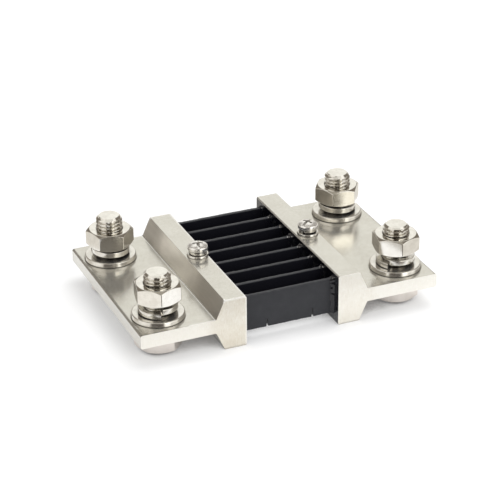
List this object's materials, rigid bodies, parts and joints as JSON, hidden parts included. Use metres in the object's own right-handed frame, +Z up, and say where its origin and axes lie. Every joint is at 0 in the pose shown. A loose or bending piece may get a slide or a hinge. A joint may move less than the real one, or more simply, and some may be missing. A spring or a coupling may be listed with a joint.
{
  "type": "current shunt resistor",
  "caption": "Low-ohm current shunt: plated end blocks with bolted terminal tabs and sense screws, joined by a bank of black resistance strips on edge.",
  "frame": {"origin": "middle of the base, in the plane that the two end blocks stand on", "axes": "+X along the current path to the right end block, -Y the side of the strip with the trim cuts, +Z up towards the free ends of the terminal bolts"},
  "size_m": [0.142, 0.0904, 0.0366],
  "materials": {
    "plated_block": "satin nickel plate over brass, sawn ends brighter and mottled",
    "black_strip": "satin black lacquer over resistance alloy",
    "black_braze": "black lacquer over rippled braze",
    "bright_fastener": "bright nickel plate",
    "bright_washer": "bright nickel plate",
    "bright_screw": "bright nickel plate"
  },
  "bodies": {
    "root": {"left_end_block": "plated_block", "left_braze_fillets": "black_braze", "right_end_block": "plated_block", "right_braze_fillets": "black_braze", "resistance_strip_1": "black_strip", "resistance_strip_2": "black_strip", "resistance_strip_3": "black_strip", "resistance_strip_4": "black_strip", "resistance_strip_5": "black_strip", "resistance_strip_6": "black_strip", "resistance_strip_7": "black_strip", "resistance_strip_8": "black_strip", "terminal_bolt_near_left": "bright_fastener", "flat_washer_near_left": "bright_washer", "spring_washer_near_left": "bright_washer", "hex_nut_near_left": "bright_fastener", "terminal_bolt_near_right": "bright_fastener", "flat_washer_near_right": "bright_washer", "spring_washer_near_right": "bright_washer", "hex_nut_near_right": "bright_fastener", "terminal_bolt_far_left": "bright_fastener", "flat_washer_far_left": "bright_washer", "spring_washer_far_left": "bright_washer", "hex_nut_far_left": "bright_fastener", "terminal_bolt_far_right": "bright_fastener", "flat_washer_far_right": "bright_washer", "spring_washer_far_right": "bright_washer", "hex_nut_far_right": "bright_fastener", "sense_flat_washer_left": "bright_washer", "sense_spring_washer_left": "bright_washer", "sense_screw_left": "bright_screw", "sense_flat_washer_right": "bright_washer", "sense_spring_washer_right": "bright_washer", "sense_screw_right": "bright_screw"}
  },
  "joints": []
}
